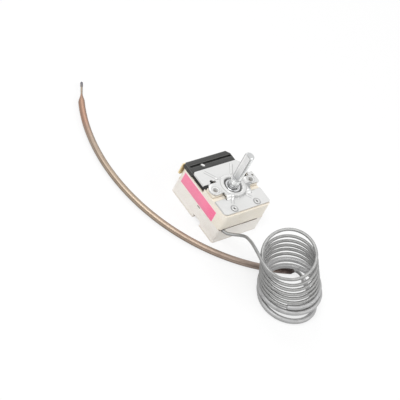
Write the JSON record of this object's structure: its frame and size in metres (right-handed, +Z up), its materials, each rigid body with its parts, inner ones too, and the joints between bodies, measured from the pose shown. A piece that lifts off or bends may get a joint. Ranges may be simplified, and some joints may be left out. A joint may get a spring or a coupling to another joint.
{
  "type": "cooktop temperature control",
  "caption": "Capillary temperature control for a cooktop: moulded housing with steel bracket and D-shaft, coiled capillary and a long bent sensing bulb.",
  "frame": {"origin": "underside of the moulded base, straight below the control shaft", "axes": "+Z up along the control shaft, X along the line of the two panel screws, +Y from the shaft to the terminals"},
  "size_m": [0.0754, 0.2049, 0.0531],
  "materials": {
    "base_plastic": "moulded",
    "upper_plastic": "moulded",
    "zinc_steel": "zinc plated",
    "bright_steel": "turned",
    "cam_plastic": "moulded",
    "capsule_steel": "pressed",
    "pin_ceramic": "fired",
    "guide_plastic": "moulded",
    "spring_bronze": "rolled",
    "contact_silver": "satin",
    "tab_brass": "rolled",
    "black_plastic": "moulded",
    "pink_paper": "printed",
    "tube_copper": "drawn",
    "sleeve_steel": "drawn",
    "bulb_copper": "drawn",
    "stem_steel": "drawn"
  },
  "bodies": {
    "housing": {"base_housing": "base_plastic", "upper_housing": "upper_plastic", "mounting_bracket": "zinc_steel", "housing_rivets": "bright_steel", "hub_bush": "bright_steel", "wave_washer": "bright_steel", "pin_guide": "guide_plastic", "fixed_contact": "contact_silver", "fixed_terminal": "tab_brass", "moving_terminal": "tab_brass", "calibration_screw": "tab_brass", "switch_cover": "black_plastic", "cover_pin": "bright_steel", "auxiliary_fixed_contact": "contact_silver", "auxiliary_terminal_left": "tab_brass", "auxiliary_terminal_right": "tab_brass", "side_label": "pink_paper", "capillary_tube": "tube_copper", "capillary_sleeve": "sleeve_steel", "sensing_bulb": "bulb_copper", "bulb_stem": "stem_steel"},
    "shaft": {"spindle": "bright_steel", "control_cam": "cam_plastic"},
    "capsule": {"adjusting_stud": "tab_brass", "capsule_cup": "capsule_steel", "capsule_membrane": "capsule_steel"},
    "pin": {"push_pin": "pin_ceramic"},
    "blade": {"snap_blade": "spring_bronze", "moving_contact": "contact_silver"},
    "plunger": {"switch_plunger": "pin_ceramic"},
    "leaf": {"auxiliary_leaf": "spring_bronze", "auxiliary_moving_contact": "contact_silver"}
  },
  "joints": [
    {"name": "shaft_turn", "type": "hinge", "parent": "housing", "child": "shaft", "pos_m": [0, 0, 0.03], "axis": [0, 0, -1], "range_deg": [0, 285]},
    {"name": "capsule_lift", "type": "slide", "parent": "housing", "child": "capsule", "axis": [0, 0, 1], "range_m": [0, 0.000554]},
    {"name": "pin_push", "type": "slide", "parent": "housing", "child": "pin", "axis": [0, 0, -1], "range_m": [0, 0.0004], "stiffness_N_per_m": 300},
    {"name": "blade_tilt", "type": "hinge", "parent": "housing", "child": "blade", "pos_m": [0, 0.013, 0.0061], "axis": [1, 0, 0], "range_deg": [0, 1.8]},
    {"name": "plunger_slide", "type": "slide", "parent": "housing", "child": "plunger", "axis": [0, 1, 0], "range_m": [0, 0.00121]},
    {"name": "leaf_tilt", "type": "hinge", "parent": "housing", "child": "leaf", "pos_m": [-0.0124, 0.0183, 0.017], "axis": [0, 0, 1], "range_deg": [0, 5.6]}
  ],
  "couplings": [
    {"joint": "shaft_turn", "follows": "capsule_lift", "rad_per_m": 8976},
    {"joint": "plunger_slide", "follows": "capsule_lift", "ratio": 2.1654},
    {"joint": "leaf_tilt", "follows": "capsule_lift", "rad_per_m": 174.63},
    {"joint": "blade_tilt", "follows": "pin_push", "rad_per_m": 76.923}
  ]
}
